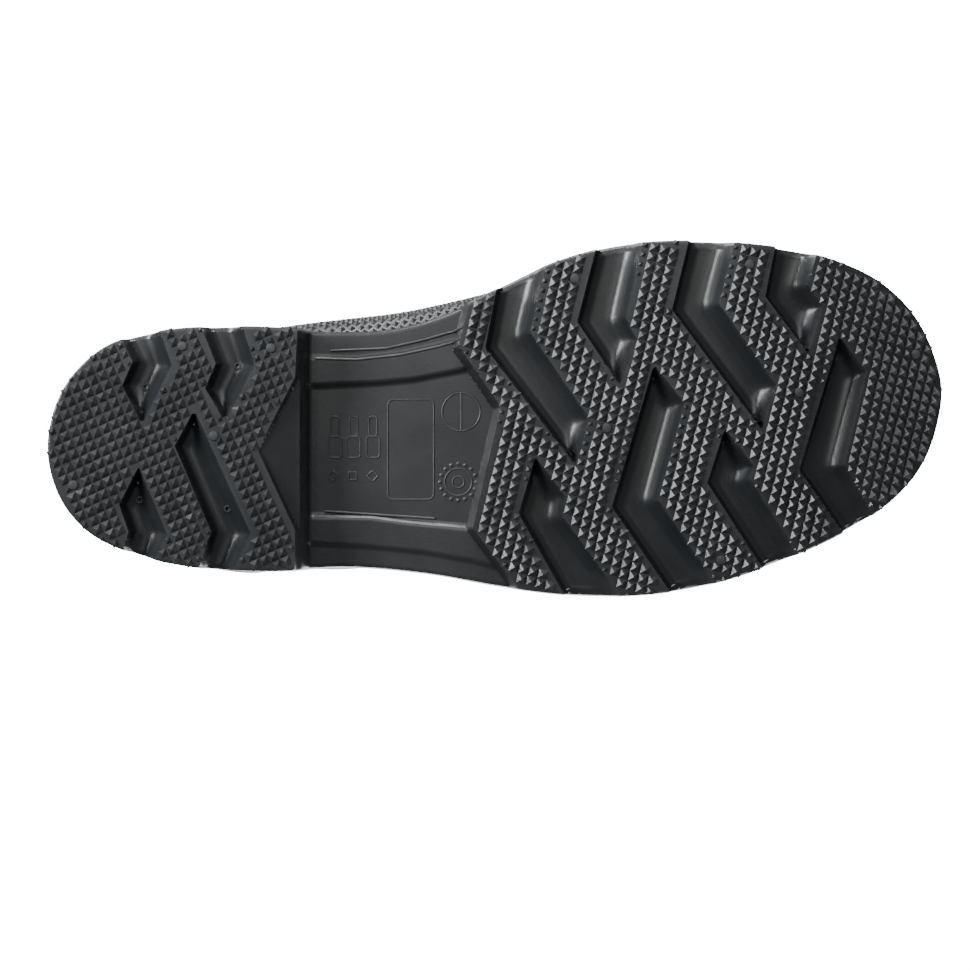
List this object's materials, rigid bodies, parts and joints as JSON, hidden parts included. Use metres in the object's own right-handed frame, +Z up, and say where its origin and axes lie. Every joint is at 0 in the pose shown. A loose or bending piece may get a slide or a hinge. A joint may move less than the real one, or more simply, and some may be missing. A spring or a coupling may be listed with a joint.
{
  "type": "steel toe work boot",
  "caption": "Left pull-on rubber safety boot with cleated outsole, steel toe cap and midsole plate, textile lining, pull loops and a lift-out footbed.",
  "frame": {"origin": "middle of the boot's underside, on the ground", "axes": "+X towards the toe, +Y towards the outer (lateral) side, +Z up"},
  "size_m": [0.3072, 0.1242, 0.3653],
  "materials": {
    "sole_rubber": "glossy moulded rubber",
    "upper_rubber": "glossy moulded rubber",
    "steel": "plain pressed steel",
    "lining_textile": "knitted textile",
    "board": "pressed fibre board",
    "foam": "matt cellular rubber",
    "webbing": "woven webbing",
    "footbed_cover": "brushed textile"
  },
  "bodies": {
    "boot": {"outsole": "sole_rubber", "heel_core": "foam", "shank": "steel", "steel_midsole": "steel", "sole_filler": "foam", "insole_board": "board", "steel_toe_cap": "steel", "toe_cap_edge_strip": "foam", "lining": "lining_textile", "heel_stiffener": "board", "upper_shell": "upper_rubber", "foxing_strip": "upper_rubber", "toe_guard": "upper_rubber", "heel_guard": "upper_rubber", "back_strip": "upper_rubber", "ankle_patch_medial": "upper_rubber", "ankle_patch_lateral": "upper_rubber", "instep_guard": "upper_rubber", "collar_band": "upper_rubber", "loop_anchor_medial": "upper_rubber", "loop_anchor_lateral": "upper_rubber"},
    "footbed": {"footbed_foam": "foam", "footbed_cover": "footbed_cover"},
    "loop_medial": {"pull_loop_medial": "webbing"},
    "loop_lateral": {"pull_loop_lateral": "webbing"}
  },
  "joints": [
    {"name": "footbed_lift", "type": "hinge", "parent": "boot", "child": "footbed", "pos_m": [0.11959, -0.0011, 0.02929], "axis": [0, 1, 0], "range_deg": [0, 12]},
    {"name": "loop_medial_flex", "type": "hinge", "parent": "boot", "child": "loop_medial", "pos_m": [-0.07641, -0.03608, 0.3233], "axis": [-1, 0, 0], "range_deg": [-4, 75], "stiffness_Nm_per_rad": 0.03},
    {"name": "loop_lateral_flex", "type": "hinge", "parent": "boot", "child": "loop_lateral", "pos_m": [-0.07641, 0.04974, 0.3233], "axis": [1, 0, 0], "range_deg": [-4, 75], "stiffness_Nm_per_rad": 0.03}
  ]
}
